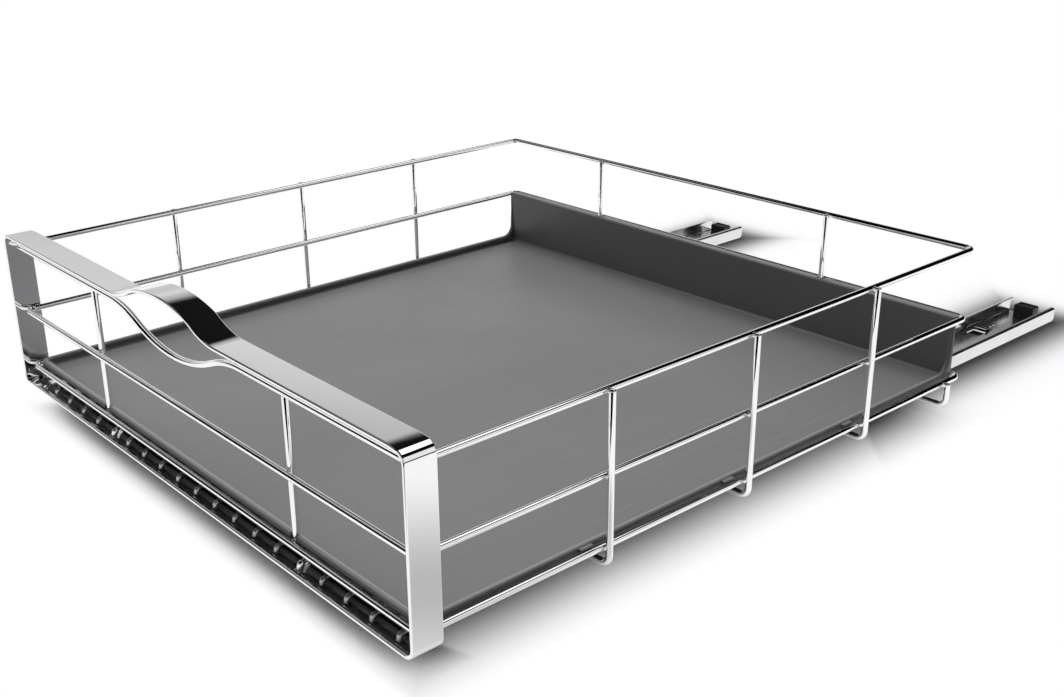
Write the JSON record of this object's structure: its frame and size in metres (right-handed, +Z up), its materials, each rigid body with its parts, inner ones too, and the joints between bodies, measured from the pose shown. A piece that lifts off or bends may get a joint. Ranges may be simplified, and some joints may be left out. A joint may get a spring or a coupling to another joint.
{
  "type": "pull out cabinet basket",
  "caption": "Wire basket with a flat-strip front frame, a raised handle and a grey liner tray, pulled half out of a kitchen cabinet on two flat-lying ball-bearing slides.",
  "frame": {"origin": "on the cabinet floor, under the middle of the whole part as it is shown", "axes": "+Z up, -Y is the way the basket pulls out, +X to the right seen from the front"},
  "size_m": [0.512, 0.76, 0.1568],
  "materials": {
    "polished_strip": "satin polished stainless strip",
    "chrome_wire": "bright chrome-plated wire",
    "grey_liner": "moulded grey plastic with a fine grain",
    "zinc_steel": "bright zinc-plated sheet steel",
    "cage_steel": "plain sheet steel",
    "ball_steel": "polished bearing steel",
    "screw_steel": "zinc-plated screw steel",
    "black_plastic": "black moulded plastic"
  },
  "bodies": {
    "cabinet_rails": {"channel_left": "zinc_steel", "channel_right": "zinc_steel", "rear_stop_left": "black_plastic", "rear_stop_right": "black_plastic"},
    "basket": {"front_frame": "polished_strip", "top_rim": "chrome_wire", "middle_rim": "chrome_wire", "bottom_rim": "chrome_wire", "hoop_1": "chrome_wire", "hoop_2": "chrome_wire", "hoop_3": "chrome_wire", "low_hoop": "chrome_wire", "runner_left": "chrome_wire", "runner_right": "chrome_wire", "floor_wire_1": "chrome_wire", "floor_wire_2": "chrome_wire", "floor_wire_3": "chrome_wire", "floor_wire_4": "chrome_wire", "floor_wire_5": "chrome_wire", "floor_wire_6": "chrome_wire", "floor_wire_7": "chrome_wire", "floor_wire_8": "chrome_wire", "floor_wire_9": "chrome_wire", "floor_wire_10": "chrome_wire", "floor_wire_11": "chrome_wire", "floor_wire_12": "chrome_wire", "floor_wire_13": "chrome_wire", "floor_wire_14": "chrome_wire", "floor_wire_15": "chrome_wire", "floor_wire_16": "chrome_wire", "floor_wire_17": "chrome_wire", "liner_tray": "grey_liner", "clamp_screws": "screw_steel", "bracket_screws": "screw_steel", "drawer_member_left": "zinc_steel", "drawer_member_right": "zinc_steel", "rear_clamp_left": "black_plastic", "rear_clamp_right": "black_plastic", "front_bracket_left": "zinc_steel", "front_bracket_right": "zinc_steel"},
    "middle_left": {"middle_member_left": "zinc_steel"},
    "outer_cage_left": {"outer_cage_left": "cage_steel", "outer_balls_left": "ball_steel"},
    "inner_cage_left": {"inner_cage_left": "cage_steel", "inner_balls_left": "ball_steel"},
    "middle_right": {"middle_member_right": "zinc_steel"},
    "outer_cage_right": {"outer_cage_right": "cage_steel", "outer_balls_right": "ball_steel"},
    "inner_cage_right": {"inner_cage_right": "cage_steel", "inner_balls_right": "ball_steel"}
  },
  "joints": [
    {"name": "basket_slide", "type": "slide", "parent": "cabinet_rails", "child": "basket", "axis": [0, -1, 0], "range_m": [-0.23, 0.27]},
    {"name": "middle_slide_left", "type": "slide", "parent": "cabinet_rails", "child": "middle_left", "axis": [0, -1, 0], "range_m": [-0.115, 0.135]},
    {"name": "outer_cage_slide_left", "type": "slide", "parent": "cabinet_rails", "child": "outer_cage_left", "axis": [0, -1, 0], "range_m": [-0.0575, 0.0675]},
    {"name": "inner_cage_slide_left", "type": "slide", "parent": "cabinet_rails", "child": "inner_cage_left", "axis": [0, -1, 0], "range_m": [-0.1725, 0.2025]},
    {"name": "middle_slide_right", "type": "slide", "parent": "cabinet_rails", "child": "middle_right", "axis": [0, -1, 0], "range_m": [-0.115, 0.135]},
    {"name": "outer_cage_slide_right", "type": "slide", "parent": "cabinet_rails", "child": "outer_cage_right", "axis": [0, -1, 0], "range_m": [-0.0575, 0.0675]},
    {"name": "inner_cage_slide_right", "type": "slide", "parent": "cabinet_rails", "child": "inner_cage_right", "axis": [0, -1, 0], "range_m": [-0.1725, 0.2025]}
  ],
  "couplings": [
    {"joint": "middle_slide_left", "follows": "basket_slide", "ratio": 0.5},
    {"joint": "outer_cage_slide_left", "follows": "basket_slide", "ratio": 0.25},
    {"joint": "inner_cage_slide_left", "follows": "basket_slide", "ratio": 0.75},
    {"joint": "middle_slide_right", "follows": "basket_slide", "ratio": 0.5},
    {"joint": "outer_cage_slide_right", "follows": "basket_slide", "ratio": 0.25},
    {"joint": "inner_cage_slide_right", "follows": "basket_slide", "ratio": 0.75}
  ]
}
